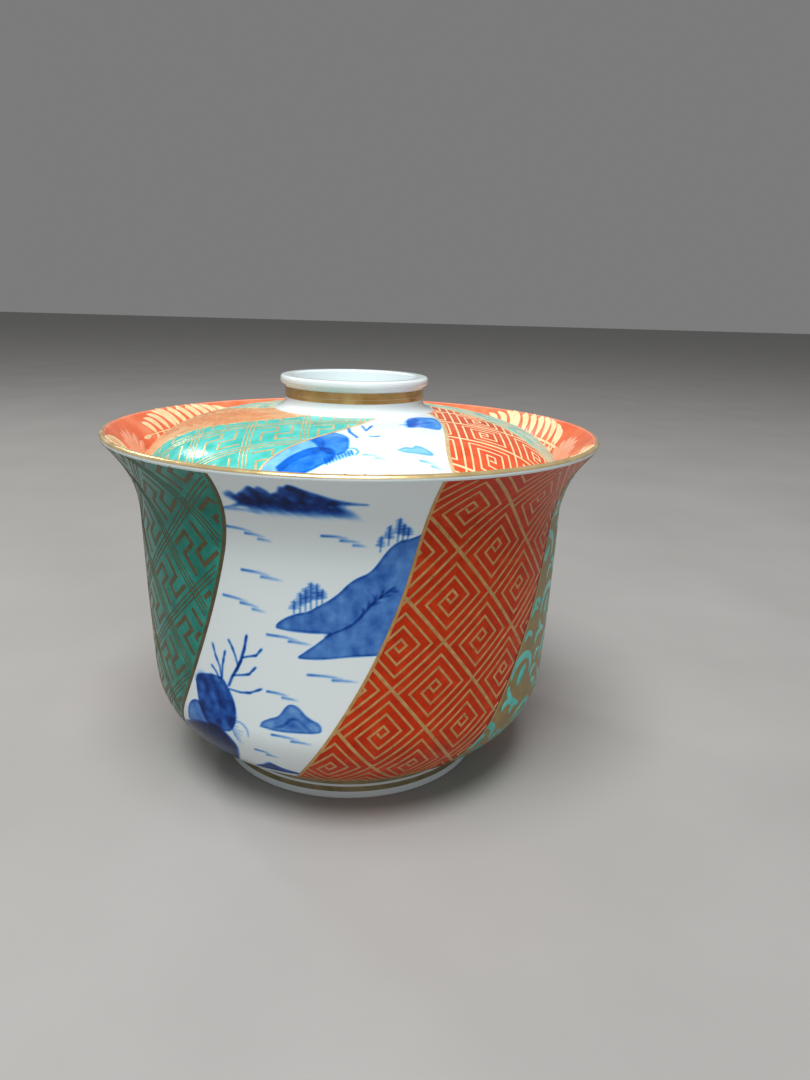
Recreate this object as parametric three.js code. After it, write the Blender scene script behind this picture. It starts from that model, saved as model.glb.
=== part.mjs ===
// Lidded porcelain rice bowl: a flared bowl on a foot ring, and a domed lid with a ring knob
// that sits inside the bowl's mouth. Millimetres, +Z up; the origin is the centre of the foot
// ring, on the plane the bowl stands on. Both pieces are solids of revolution about Z.
import * as THREE from "three";

// ---- driving dimensions -------------------------------------------------------------------
const SEGMENTS = 64; // facets around each turned piece

// bowl
const RIM_RADIUS = 56; // outermost radius, at the lip
const RIM_HEIGHT = 79; // top of the lip above the table
const LIP_THICKNESS = 1.5;
const WALL_THICKNESS = 2.7;
const BASE_THICKNESS = 3.2; // where the wall turns in to the foot
const WALL_FOOT_RADIUS = 47; // upright wall just above the turn
const WALL_FOOT_HEIGHT = 24;
const FLARE_RADIUS = 48.4; // upright wall where the flare begins
const FLARE_HEIGHT = 60;
const FLARE_ANGLE = Math.PI / 4; // of the lip, above horizontal
const FLOOR_HEIGHT = 8; // inside, at the centre

// foot ring
const FOOT_RADIUS = 31.6;
const FOOT_TOP_RADIUS = 31.3;
const FOOT_HEIGHT = 5.3;
const FOOT_INNER_RADIUS = 28;
const RECESS_RADIUS = 27.2; // under the floor, inside the foot ring
const RECESS_HEIGHT = 5;
const FOOT_EDGE = 0.5; // bevel either side of the resting face

// lid
const LID_RADIUS = 47.9;
const LID_EDGE_HEIGHT = 69; // underside of the lid's edge when it is on the bowl
const LID_THICKNESS = 2.4;
const DOME_TOP_RADIUS = 18.4; // where the dome meets the knob's base
const DOME_TOP_HEIGHT = 83.3;
const LID_CROWN_HEIGHT = 81.6; // underside of the lid, at the centre

// ring knob on the lid
const NECK_RADIUS = 15.8;
const NECK_BOTTOM_HEIGHT = 85.6;
const NECK_TOP_HEIGHT = 88.2;
const KNOB_RADIUS = 16.9;
const KNOB_HEIGHT = 90.7;
const KNOB_INNER_RADIUS = 13.9;
const KNOB_FLOOR_HEIGHT = 85.2;
const KNOB_EDGE = 0.7; // rounding of the knob's lip

// ---- helpers ------------------------------------------------------------------------------
const vec = (r, z) => new THREE.Vector2(r, z);

// Points of a cubic curve from the first to the last corner, without its first point.
function curve(from, control1, control2, to, steps) {
  return new THREE.CubicBezierCurve(from, control1, control2, to).getPoints(steps).slice(1);
}

// Points on an arc about a centre, from one angle to another, both ends included.
function arc(centre, radius, fromAngle, toAngle, steps) {
  return Array.from({ length: steps + 1 }, (_, i) => {
    const angle = fromAngle + ((toAngle - fromAngle) * i) / steps;
    return vec(centre.x + radius * Math.cos(angle), centre.y + radius * Math.sin(angle));
  });
}

// The same run of points moved to its left by a thickness that depends on the point.
function offset(points, thicknessAt) {
  return points.map((point, i) => {
    const before = points[Math.max(i - 1, 0)];
    const after = points[Math.min(i + 1, points.length - 1)];
    const along = after.clone().sub(before).normalize();
    const thickness = thicknessAt(point);
    return vec(point.x - along.y * thickness, point.y + along.x * thickness);
  });
}

// A closed solid from a half profile that runs anticlockwise from the axis back to the axis.
function turned(profile) {
  const geometry = new THREE.LatheGeometry(profile, SEGMENTS);
  geometry.rotateX(Math.PI / 2);
  return geometry;
}

function porcelain(name, profile, color) {
  const material = new THREE.MeshStandardMaterial({ color, roughness: 0.12, metalness: 0 });
  const mesh = new THREE.Mesh(turned(profile), material);
  mesh.name = name;
  return mesh;
}

// ---- bowl ---------------------------------------------------------------------------------
function bowlProfile() {
  const lipRadius = LIP_THICKNESS / 2;
  const lipCentre = vec(RIM_RADIUS - lipRadius, RIM_HEIGHT - lipRadius);
  const [lip, ...lipRest] = arc(
    lipCentre, lipRadius, FLARE_ANGLE - Math.PI / 2, FLARE_ANGLE + Math.PI / 2, 4
  );
  const turnStart = vec(FOOT_TOP_RADIUS + 0.6, FOOT_HEIGHT + 0.6);
  const wallFoot = vec(WALL_FOOT_RADIUS, WALL_FOOT_HEIGHT);
  const flareStart = vec(FLARE_RADIUS, FLARE_HEIGHT);
  const outside = [
    turnStart,
    ...curve(turnStart, vec(37, 7.6), vec(46.3, 13.5), wallFoot, 6),
    ...curve(wallFoot, vec(47.5, 32), vec(48.2, 48), flareStart, 3),
    ...curve(flareStart, vec(48.5, 66), vec(50, 71.6), lip, 7),
  ];
  const thicknessAt = (point) =>
    point.y < WALL_FOOT_HEIGHT
      ? THREE.MathUtils.mapLinear(
          point.y, turnStart.y, WALL_FOOT_HEIGHT, BASE_THICKNESS, WALL_THICKNESS
        )
      : THREE.MathUtils.mapLinear(
          Math.max(point.y, FLARE_HEIGHT), FLARE_HEIGHT, lip.y, WALL_THICKNESS, LIP_THICKNESS
        );
  // the lip's arc already ends on the inner face, so the offset wall leaves that point out
  const inside = offset(outside, thicknessAt).slice(0, -1).reverse();
  const floorEdge = inside[inside.length - 1];
  return [
    vec(0, RECESS_HEIGHT),
    vec(RECESS_RADIUS - FOOT_EDGE, RECESS_HEIGHT),
    vec(RECESS_RADIUS, RECESS_HEIGHT - FOOT_EDGE),
    vec(FOOT_INNER_RADIUS, FOOT_EDGE),
    vec(FOOT_INNER_RADIUS + FOOT_EDGE, 0),
    vec(FOOT_RADIUS - FOOT_EDGE, 0),
    vec(FOOT_RADIUS, FOOT_EDGE),
    vec(FOOT_TOP_RADIUS, FOOT_HEIGHT),
    ...outside,
    ...lipRest,
    ...inside,
    ...curve(floorEdge, vec(28.5, FLOOR_HEIGHT + 0.2), vec(20, FLOOR_HEIGHT), vec(0, FLOOR_HEIGHT), 3),
  ];
}

// ---- lid ----------------------------------------------------------------------------------
function lidProfile() {
  const edgeRadius = LID_THICKNESS / 2;
  const edgeCentre = vec(LID_RADIUS - edgeRadius, LID_EDGE_HEIGHT + edgeRadius);
  const [edgeInner, ...edgeRest] = arc(edgeCentre, edgeRadius, -Math.PI, 0, 4);
  const domeTop = vec(DOME_TOP_RADIUS, DOME_TOP_HEIGHT);
  const edgeOuter = edgeRest[edgeRest.length - 1];
  const dome = curve(edgeOuter, vec(45.2, 80), vec(32, 81.6), domeTop, 8);
  const domeInside = offset([edgeOuter, ...dome], () => LID_THICKNESS).slice(1).reverse();
  const crown = vec(0, LID_CROWN_HEIGHT);
  const neckBottom = vec(NECK_RADIUS, NECK_BOTTOM_HEIGHT);
  const neckTop = vec(NECK_RADIUS, NECK_TOP_HEIGHT);
  const lipUnder = vec(KNOB_RADIUS, KNOB_HEIGHT - 1.2);
  const lipTop = vec(KNOB_RADIUS - KNOB_EDGE, KNOB_HEIGHT);
  return [
    crown,
    vec(10, LID_CROWN_HEIGHT - 0.25),
    ...domeInside,
    edgeInner,
    ...edgeRest,
    ...dome,
    ...curve(domeTop, vec(16.8, 83.6), vec(NECK_RADIUS, 84.4), neckBottom, 3),
    neckTop,
    ...curve(neckTop, vec(NECK_RADIUS, 89), vec(KNOB_RADIUS, 88.7), lipUnder, 3),
    ...curve(lipUnder, vec(KNOB_RADIUS, 90.3), vec(16.7, KNOB_HEIGHT), lipTop, 2),
    vec(KNOB_INNER_RADIUS + KNOB_EDGE, KNOB_HEIGHT),
    vec(KNOB_INNER_RADIUS, KNOB_HEIGHT - KNOB_EDGE),
    vec(KNOB_INNER_RADIUS - 0.2, KNOB_FLOOR_HEIGHT + KNOB_EDGE),
    vec(KNOB_INNER_RADIUS - 0.2 - KNOB_EDGE, KNOB_FLOOR_HEIGHT),
    vec(0, KNOB_FLOOR_HEIGHT),
  ];
}

// ---- assembly -----------------------------------------------------------------------------
const group = new THREE.Group();
group.add(porcelain("bowl", bowlProfile(), 0xe9edf0));
group.add(porcelain("lid", lidProfile(), 0xeef2f4));

export default group;
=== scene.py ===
import math

import bpy
import numpy as np
from mathutils import Matrix, Vector


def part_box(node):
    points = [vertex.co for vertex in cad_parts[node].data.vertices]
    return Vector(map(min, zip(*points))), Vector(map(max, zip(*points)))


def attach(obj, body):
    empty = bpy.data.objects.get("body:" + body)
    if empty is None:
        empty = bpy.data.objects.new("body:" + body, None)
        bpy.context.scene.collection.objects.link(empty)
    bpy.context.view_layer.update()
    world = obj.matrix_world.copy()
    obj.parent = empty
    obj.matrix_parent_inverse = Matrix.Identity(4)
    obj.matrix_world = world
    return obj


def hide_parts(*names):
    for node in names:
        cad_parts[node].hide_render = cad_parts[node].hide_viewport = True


# A lidded porcelain rice bowl. Eight twisting panels run from the foot to the rim, and again over the
# lid. Lengths are in millimetres, and become metres where a mesh or the camera is made. The lights and
# the floor are in metres. Angles are in degrees, from the bowl's front (-Y) towards its right (+X).

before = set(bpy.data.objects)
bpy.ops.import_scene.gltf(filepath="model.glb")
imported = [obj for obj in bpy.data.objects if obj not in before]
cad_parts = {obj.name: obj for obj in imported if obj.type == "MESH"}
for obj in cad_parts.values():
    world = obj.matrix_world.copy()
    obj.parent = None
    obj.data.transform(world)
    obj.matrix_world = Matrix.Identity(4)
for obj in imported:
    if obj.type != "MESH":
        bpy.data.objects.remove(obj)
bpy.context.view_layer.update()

MM = 0.001
rng = np.random.default_rng(79)

# ---- driving dimensions

_, bowl_high = np.array(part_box("bowl")) / MM
lid_low, lid_high = np.array(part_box("lid")) / MM

RIM_RADIUS = bowl_high[0]
RIM_HEIGHT = bowl_high[2]
LIP_RADIUS = 0.75
BASE_THICKNESS = 3.2
WALL_THICKNESS = 2.7
WALL_FOOT = (47.0, 24.0)
FLARE = (48.4, 60.0)
FLOOR_HEIGHT = 8.0
FOOT_RADIUS = 31.6
FOOT_TOP = (31.3, 5.3)
FOOT_TURN = (31.9, 5.9)
FOOT_INNER_RADIUS = 28.0
RECESS = (27.2, 5.0)
EDGE_ROUND = 0.5

LID_RADIUS = lid_high[0]
LID_EDGE_ROUND = 1.2
LID_EDGE_HEIGHT = lid_low[2] + LID_EDGE_ROUND
LID_THICKNESS = 2.4
DOME_TOP = (18.4, 83.3)
CROWN_HEIGHT = 81.6
NECK_RADIUS = 15.8
NECK_HEIGHTS = (85.6, 88.2)
KNOB_RADIUS = 16.9
KNOB_HEIGHT = lid_high[2]
KNOB_INNER_RADIUS = 13.9
KNOB_FLOOR = 85.2

PANELS = 8
PANEL_ANGLE = 360 / PANELS
BOWL_START = -28.2
BOWL_TWIST = 34.5
BOWL_TWIST_TOP, BOWL_TWIST_DEPTH = 78, 70
LID_START = -23.6
LID_TWIST = 36.0
LID_TWIST_EDGE, LID_TWIST_REACH = 45, 26
TWIST_POWER = 1.8
PATTERN_SHEAR = 0.28
WALL_NUDGES = {0: 1.2, 1: -0.8, 4: 1.2, 5: -0.8}
LID_NUDGES = {1: 3.5, 5: 3.5}

GROUND_LIFT = 0.05
LINE_LIFT = 0.11
MIDDLE_LIFT = LINE_LIFT + 0.01
UPPER_LIFT = LINE_LIFT + 0.02
PAINTING_LIFT = 0.02
SUNK = -0.06


# ---- outlines, as (radius, height)

def bezier(start, pull_start, pull_end, end, count=32):
    t = np.linspace(0, 1, count + 1)[:, None]
    start, pull_start, pull_end, end = [np.array(p, float) for p in (start, pull_start, pull_end, end)]
    inner = 3 * t * (1 - t) ** 2 * pull_start + 3 * t ** 2 * (1 - t) * pull_end
    return (1 - t) ** 3 * start + inner + t ** 3 * end


def arc(centre, radius, start, end, count=12):
    turn = np.radians(np.linspace(start, end, count + 1))
    return np.stack([centre[0] + radius * np.cos(turn), centre[1] + radius * np.sin(turn)], axis=1)


def chain(*pieces):
    """The pieces' points in one array, without repeats where two pieces meet."""
    points = np.concatenate([np.atleast_2d(np.array(p, float)) for p in pieces])
    keep = np.concatenate([[True], np.hypot(*np.diff(points, axis=0).T) > 1e-4])
    return points[keep]


class Outline:
    """A body's outline: its points, the length along it, and its normals on the right of its direction."""

    def __init__(self, points, body):
        self.points = points
        self.body = body
        steps = np.hypot(*np.diff(points, axis=0).T)
        self.lengths = np.concatenate([[0], np.cumsum(steps)])
        self.total = self.lengths[-1]
        along = np.gradient(points, self.lengths, axis=0)
        along /= np.linalg.norm(along, axis=1, keepdims=True)
        self.normals = np.stack([along[:, 1], -along[:, 0]], axis=1)

    def at(self, s):
        r, z = [np.interp(s, self.lengths, self.points[:, i]) for i in (0, 1)]
        nr, nz = [np.interp(s, self.lengths, self.normals[:, i]) for i in (0, 1)]
        return r, z, nr, nz

    def lifted(self, s, lift):
        """Points beside the outline, lifted off it along its normal."""
        r, z, nr, nz = self.at(s)
        return np.stack([r + nr * lift, z + nz * lift], axis=1)

    def where_height(self, z):
        return np.interp(z, self.points[:, 1], self.lengths)

    def where_radius(self, r):
        return np.interp(-np.asarray(r, float), -self.points[:, 0], self.lengths)

    def place(self, angle, s, lift):
        """Positions on the spun surface, lifted off it along its normal."""
        r, z, nr, nz = self.at(s)
        angle = np.radians(angle)
        reach = r + nr * lift
        return np.stack([reach * np.sin(angle), -reach * np.cos(angle), z + nz * lift], axis=-1)

    def normal(self, angle, s):
        _, _, nr, nz = self.at(s)
        angle = np.radians(angle)
        n = np.stack([nr * np.sin(angle), -nr * np.cos(angle), nz], axis=-1)
        return n / np.linalg.norm(n, axis=-1, keepdims=True)


LIP_CENTRE = (RIM_RADIUS - LIP_RADIUS, RIM_HEIGHT - LIP_RADIUS)
LIP_START, LIP_END = -45, 135
GOLD_START_ANGLE = 15
GOLD_TOP_ANGLE = 100
GOLD_LOW = LIP_RADIUS * math.radians(GOLD_START_ANGLE - LIP_START)
GOLD_TOP = LIP_RADIUS * math.radians(GOLD_TOP_ANGLE - LIP_START)

lip = Outline(arc(LIP_CENTRE, LIP_RADIUS, LIP_START, LIP_END), "bowl")
LIP_LOW = lip.points[0]

bowl_wall = Outline(chain(
    (FOOT_RADIUS, EDGE_ROUND),
    FOOT_TOP,
    FOOT_TURN,
    bezier(FOOT_TURN, (37, 7.6), (46.3, 13.5), WALL_FOOT),
    bezier(WALL_FOOT, (47.5, 32), (48.2, 48), FLARE),
    bezier(FLARE, (48.5, 66), (50, 71.6), LIP_LOW),
), "bowl")


def wall_thickness(z):
    heights = [FOOT_TURN[1], WALL_FOOT[1], FLARE[1], LIP_LOW[1]]
    return np.interp(z, heights, [BASE_THICKNESS, WALL_THICKNESS, WALL_THICKNESS, 2 * LIP_RADIUS])


def inner_wall_points():
    """The wall's inside, from the lip down to the floor."""
    heights = bowl_wall.points[:, 1]
    s = bowl_wall.where_height(heights[heights > FLOOR_HEIGHT + 0.2][::-1])
    inside = bowl_wall.lifted(s, -wall_thickness(bowl_wall.at(s)[1]))
    inside = inside[inside[:, 1] > FLOOR_HEIGHT + 3.0]
    start = inside[-1]
    return chain(inside, bezier(start, start + (-4.2, -2.0), (26, FLOOR_HEIGHT), (16, FLOOR_HEIGHT), 12))


inner_wall = inner_wall_points()
mouth = Outline(chain(arc(LIP_CENTRE, LIP_RADIUS, GOLD_TOP_ANGLE, LIP_END, 6), inner_wall), "bowl")

foot_points = chain(
    (0, RECESS[1]),
    (RECESS[0] - EDGE_ROUND, RECESS[1]),
    (RECESS[0], RECESS[1] - EDGE_ROUND),
    (FOOT_INNER_RADIUS, EDGE_ROUND),
    (FOOT_INNER_RADIUS + EDGE_ROUND, 0),
    (FOOT_RADIUS - EDGE_ROUND, 0),
)

dome = Outline(chain(
    arc((LID_RADIUS - LID_EDGE_ROUND, LID_EDGE_HEIGHT), LID_EDGE_ROUND, -90, 0),
    bezier((LID_RADIUS, LID_EDGE_HEIGHT), (45.2, 80), (32, 81.6), DOME_TOP, 60),
    bezier(DOME_TOP, (16.8, 83.6), (NECK_RADIUS, 84.4), (NECK_RADIUS, NECK_HEIGHTS[0]), 12),
), "lid")

KNOB_LIP_LOW = (KNOB_RADIUS, 89.5)
KNOB_INNER_LIP = (KNOB_INNER_RADIUS, 90)
knob = Outline(chain(
    (NECK_RADIUS, NECK_HEIGHTS[0]),
    (NECK_RADIUS, NECK_HEIGHTS[1]),
    bezier((NECK_RADIUS, NECK_HEIGHTS[1]), (15.8, 89), (KNOB_RADIUS, 88.7), KNOB_LIP_LOW, 8),
    bezier(KNOB_LIP_LOW, (KNOB_RADIUS, 90.3), (16.7, KNOB_HEIGHT), (16.2, KNOB_HEIGHT), 8),
    bezier((14.6, KNOB_HEIGHT), (14.1, KNOB_HEIGHT), (KNOB_INNER_RADIUS, 90.5), KNOB_INNER_LIP, 6),
    bezier(KNOB_INNER_LIP, (13.8, 87), (13.8, KNOB_FLOOR), (11.5, KNOB_FLOOR), 10),
    (0, KNOB_FLOOR),
), "lid")


# ---- meshes

def add_piece(name, points, faces, materials, body, face_materials=None, sharp=35):
    """A mesh piece from millimetre points, with smooth shading between its sharp edges."""
    mesh = bpy.data.meshes.new(name)
    mesh.from_pydata((np.asarray(points) * MM).tolist(), [], [list(map(int, f)) for f in faces])
    for material in materials:
        mesh.materials.append(material)
    if face_materials is not None:
        mesh.polygons.foreach_set("material_index", np.asarray(face_materials, dtype=np.int32))
    mesh.update()
    mesh.shade_smooth()
    mesh.set_sharp_from_angle(angle=math.radians(sharp))
    piece = bpy.data.objects.new(name, mesh)
    bpy.context.scene.collection.objects.link(piece)
    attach(piece, body)
    return piece


SEGMENTS = 256


def spun(points, closed):
    """Points and faces of an outline spun about Z. A point on the axis makes a fan of triangles."""
    turn = 2 * math.pi * np.arange(SEGMENTS) / SEGMENTS
    ring = np.stack([np.sin(turn), -np.cos(turn)], axis=1)
    on_axis = points[:, 0] < 1e-6
    places = []
    starts = []
    for (r, z), single in zip(points, on_axis):
        starts.append(len(places))
        if single:
            places.append((0, 0, z))
        else:
            places.extend([(r * x, r * y, z) for x, y in ring])
    faces = []
    rows = list(range(len(points))) + ([0] if closed else [])
    for a, b in zip(rows, rows[1:]):
        for i in range(SEGMENTS):
            j = (i + 1) % SEGMENTS
            low = [starts[a]] if on_axis[a] else [starts[a] + i, starts[a] + j]
            high = [starts[b]] if on_axis[b] else [starts[b] + j, starts[b] + i]
            faces.append(low + high)
    return places, faces


def lathe(name, points, materials, body, bare_below=None, closed=False):
    """A solid of revolution. Faces wholly below bare_below take the second material."""
    places, faces = spun(points, closed)
    face_materials = None
    if bare_below is not None:
        heights = np.array([p[2] for p in places])
        face_materials = [1 if max(heights[f]) <= bare_below else 0 for f in faces]
    return add_piece(name, places, faces, materials, body, face_materials)


def band(name, outline, s_start, s_end, material, count=16):
    """A thin closed skin round a spun surface, between two lengths along its outline."""
    s = np.linspace(s_start, s_end, count + 1)
    loop = np.concatenate([outline.lifted(s, GROUND_LIFT), outline.lifted(s, SUNK)[::-1]])
    return lathe(name, loop, [material], outline.body, closed=True)


def skin(name, ware, k, material, pitch=1.5, lift=GROUND_LIFT):
    """A thin closed skin over panel k, and the angle and length of each point of its top."""
    rows = max(2, round((ware.s_high - ware.s_low) / pitch)) + 1
    s = np.linspace(ware.s_low, ware.s_high, rows)
    left, right = ware.edge(k)(s), ware.edge(k + 1)(s)
    width = np.radians(right - left) * ware.outline.at(s)[0]
    columns = max(2, round(float(width.max()) / pitch)) + 1
    across = np.linspace(0, 1, columns)
    s_grid = np.repeat(s[:, None], columns, axis=1)
    angle = left[:, None] + (right - left)[:, None] * across
    top = ware.outline.place(angle, s_grid, lift).reshape(-1, 3)
    under = ware.outline.place(angle, s_grid, SUNK).reshape(-1, 3)
    index = np.arange(rows * columns).reshape(rows, columns)
    quads = np.stack([index[:-1, :-1], index[:-1, 1:], index[1:, 1:], index[1:, :-1]], axis=-1).reshape(-1, 4)
    rim = np.concatenate([index[0, :-1], index[:-1, -1], index[-1, :0:-1], index[:0:-1, 0]])
    after = np.roll(rim, -1)
    shift = rows * columns
    sides = np.stack([rim, rim + shift, after + shift, after], axis=1)
    faces = np.concatenate([quads, quads[:, ::-1] + shift, sides])
    piece = add_piece(name, np.concatenate([top, under]), faces, [material], ware.body)
    return piece, angle, s_grid


class Lines:
    """Thin raised lines on a spun surface, gathered into one piece."""

    SHOULDER = 0.8  # height of a line's shoulders, as a share of its thickness
    SHOULDER_WIDTH = 0.9
    MITRE_LIMIT = 0.6

    def __init__(self, outline):
        self.outline = outline
        self.points = []
        self.faces = []

    def add(self, angle, s, width, lift=LINE_LIFT):
        """One line through the given surface places, as wide in mm as width, which may vary along it."""
        angle, s = np.asarray(angle, float), np.asarray(s, float)
        if len(s) < 2:
            return
        width = np.broadcast_to(np.asarray(width, float), s.shape)
        middle = self.outline.place(angle, s, 0)
        normal = self.outline.normal(angle, s)
        length = np.linalg.norm(np.diff(middle, axis=0), axis=1)
        keep = np.concatenate([[True], length > 1e-3])
        if keep.sum() < 2:
            return
        middle, normal, width = middle[keep], normal[keep], width[keep]
        step = np.diff(middle, axis=0)
        step /= np.linalg.norm(step, axis=1, keepdims=True)
        before = np.concatenate([step[:1], step])
        after = np.concatenate([step, step[-1:]])
        side_before = np.cross(normal, before)
        side = side_before + np.cross(normal, after)
        side /= np.linalg.norm(side, axis=1, keepdims=True)
        mitre = 1 / np.clip(np.sum(side * side_before, axis=1), self.MITRE_LIMIT, 1)
        half = side * (width / 2 * mitre)[:, None]
        thick = (lift - SUNK) * normal
        base = middle + SUNK * normal
        shoulder = base + thick * self.SHOULDER
        rows = np.stack([base - half, shoulder - half * self.SHOULDER_WIDTH, base + thick,
                         shoulder + half * self.SHOULDER_WIDTH, base + half], axis=1)
        start = len(self.points)
        count = len(middle)
        self.points.extend(rows.reshape(-1, 3))
        sides = rows.shape[1]
        for i in range(count - 1):
            a = start + i * sides
            b = a + sides
            for j in range(sides):
                after_j = (j + 1) % sides
                self.faces.append([a + j, b + j, b + after_j, a + after_j])
        self.faces.append([start + j for j in range(sides)])
        self.faces.append([start + (count - 1) * sides + j for j in reversed(range(sides))])

    def piece(self, name, material):
        return add_piece(name, self.points, self.faces, [material], self.outline.body, sharp=50)


# ---- the decorated surfaces

def stretches(inside):
    """The start and end of each stretch of True."""
    return np.flatnonzero(np.diff(np.concatenate([[0], inside, [0]]))).reshape(-1, 2)


class Ware:
    """The bowl's wall or the lid's dome: its panels' twisting edges and a flat plane to draw patterns in."""

    STEP = 0.2  # mm between the places where a line is tested against its panel
    KEEP_EVERY = 5

    def __init__(self, outline, start, nudges, s_low, s_high):
        self.outline = outline
        self.body = outline.body
        self.start = start
        self.nudges = nudges
        self.s_low = s_low
        self.s_high = s_high

    def edge(self, k):
        """The law of panel k's left edge: its angle at a length along the outline."""
        start = self.start + PANEL_ANGLE * k + self.nudges.get(k % PANELS, 0.0)
        return lambda s: start + self.twist(s)

    def inside(self, k, angle, s, left_margin, right_margin, end_margin=0.0):
        """Which surface places lie in panel k, clear of its sides and ends by the margins."""
        reach = np.radians(1) * self.outline.at(s)[0]
        clear = (angle - self.edge(k)(s)) * reach > left_margin
        clear &= (self.edge(k + 1)(s) - angle) * reach > right_margin
        return clear & (s > self.s_low + end_margin) & (s < self.s_high - end_margin)

    def clip(self, k, points, margins):
        """The parts of a line in straight runs that lie in panel k, as (angle, s) arrays."""
        points = np.asarray(points, float)
        fine = []
        corners = []
        for a, b in zip(points, points[1:]):
            count = max(1, math.ceil(np.hypot(*(b - a)) / self.STEP))
            corners.append(len(fine))
            fine.extend(a + (b - a) * i / count for i in range(count))
        corners.append(len(fine))
        fine.append(points[-1])
        angle, s = self.to_surface(np.array(fine), k)
        for start, end in stretches(self.inside(k, angle, s, *margins)):
            turns = [c for c in corners if start <= c < end]
            kept = sorted({*range(start, end, self.KEEP_EVERY), *turns, end - 1})
            yield angle[kept], s[kept]


class Wall(Ware):
    """The drawing plane of a wall panel: x is round the wall from the bowl's front, y is up along it."""

    FLAT_RADIUS = 47.5

    def twist(self, s):
        z = self.outline.at(s)[1]
        return -BOWL_TWIST * (np.clip(BOWL_TWIST_TOP - z, 0, None) / BOWL_TWIST_DEPTH) ** TWIST_POWER

    def to_surface(self, points, k):
        s = points[:, 1]
        angle = np.degrees(points[:, 0] / self.FLAT_RADIUS) + PATTERN_SHEAR * self.twist(s) + PANEL_ANGLE * k
        return angle, s

    def from_surface(self, angle, s, k):
        return np.stack([np.radians(angle - PANEL_ANGLE * k) * self.FLAT_RADIUS, s], axis=-1)


class Dome(Ware):
    """The drawing plane of a lid panel: the lid from above, turned so that it lies as panel 0 does."""

    def twist(self, s):
        r = self.outline.at(s)[0]
        return LID_TWIST * (np.clip(LID_TWIST_EDGE - r, 0, None) / LID_TWIST_REACH) ** TWIST_POWER

    def to_surface(self, points, k):
        angle = np.degrees(np.arctan2(points[:, 0], -points[:, 1])) + PANEL_ANGLE * k
        return angle, self.outline.where_radius(np.hypot(points[:, 0], points[:, 1]))

    def from_surface(self, angle, s, k):
        r = self.outline.at(s)[0]
        turn = np.radians(angle - PANEL_ANGLE * k)
        return np.stack([r * np.sin(turn), -r * np.cos(turn)], axis=-1)


wall_start = bowl_wall.where_height(FOOT_TURN[1])
wall = Wall(bowl_wall, BOWL_START, WALL_NUDGES, wall_start, bowl_wall.total)
dome_edge = float(np.interp(LID_EDGE_HEIGHT, dome.points[:, 1], dome.lengths))
dome_top = dome.where_radius(DOME_TOP[0])
lid = Dome(dome, LID_START, LID_NUDGES, dome_edge + 0.4, dome_top)


# ---- materials

def add_node(nodes, kind, **values):
    """A shader node with inputs set by name. An underscore stands for a space in the input's name."""
    node = nodes.new(kind)
    for name, value in values.items():
        node.inputs[name.replace("_", " ")].default_value = value
    return node


def start_material(name, roughness, specular, metallic=0.0):
    material = bpy.data.materials.new(name)
    material.use_nodes = True
    nodes, links = material.node_tree.nodes, material.node_tree.links
    shader = nodes["Principled BSDF"]
    shader.inputs["Metallic"].default_value = metallic
    shader.inputs["Roughness"].default_value = roughness
    shader.inputs["Specular IOR Level"].default_value = specular
    return material, nodes, links, shader


def add_noise(nodes, links, place, size, detail):
    """3-D noise fixed to the piece, with features of the given size in mm."""
    noise = add_node(nodes, "ShaderNodeTexNoise", Scale=1 / (size * MM), Detail=detail)
    links.new(place.outputs["Object"], noise.inputs["Vector"])
    return noise.outputs["Fac"]


def add_range(nodes, links, source, low, high, to_low, to_high):
    node = add_node(nodes, "ShaderNodeMapRange", From_Min=low, From_Max=high, To_Min=to_low, To_Max=to_high)
    links.new(source, node.inputs["Value"])
    return node.outputs["Result"]


def add_colours(nodes, links, source, stops, shader):
    node = nodes.new("ShaderNodeValToRGB")
    elements = node.color_ramp.elements
    while len(elements) < len(stops):
        elements.new(0.5)
    for element, (position, colour) in zip(elements, stops):
        element.position = position
        element.color = (*colour, 1)
    links.new(source, node.inputs["Fac"])
    links.new(node.outputs["Color"], shader.inputs["Base Color"])


def mixed_material(name, stops, size, roughness, metallic=0.0, rough_spread=0.0, bump=0.0, bump_size=1.0,
                   detail=4.0, specular=0.5):
    """A material whose colour wanders between its stops with 3-D noise. Sizes and bump are in mm."""
    material, nodes, links, shader = start_material(name, roughness, specular, metallic)
    place = nodes.new("ShaderNodeTexCoord")
    noise = add_noise(nodes, links, place, size, detail)
    add_colours(nodes, links, noise, stops, shader)
    if rough_spread:
        low, high = roughness - rough_spread, roughness + rough_spread
        spread = add_range(nodes, links, noise, 0.3, 0.7, low, high)
        links.new(spread, shader.inputs["Roughness"])
    if bump:
        relief = add_node(nodes, "ShaderNodeBump", Strength=1.0, Distance=bump * MM)
        links.new(add_noise(nodes, links, place, bump_size, 2.0), relief.inputs["Height"])
        links.new(relief.outputs["Normal"], shader.inputs["Normal"])
    return material


def blend(dark, light):
    """The stops of a colour that wanders between two."""
    return [(0.3, dark), (0.7, light)]


def enamel(name, stops, size, roughness=0.24, specular=0.25, rough_spread=0.06):
    return mixed_material(name, stops, size, roughness, rough_spread=rough_spread, bump=0.012,
                          bump_size=0.8, detail=6, specular=specular)


def turquoise(name, stops, roughness, specular):
    return mixed_material(name, stops, 4.0, roughness, rough_spread=0.06, bump=0.02, bump_size=1.2,
                          detail=5, specular=specular)


def gilding(name, stops, size, roughness, metallic, rough_spread=0.08, bump=0.008, bump_size=0.4,
            specular=0.5):
    return mixed_material(name, stops, size, roughness, metallic, rough_spread, bump, bump_size,
                          detail=6, specular=specular)


GLAZE = (0.73, 0.80, 0.81)
GLAZE_COOL = (0.68, 0.765, 0.78)

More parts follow.
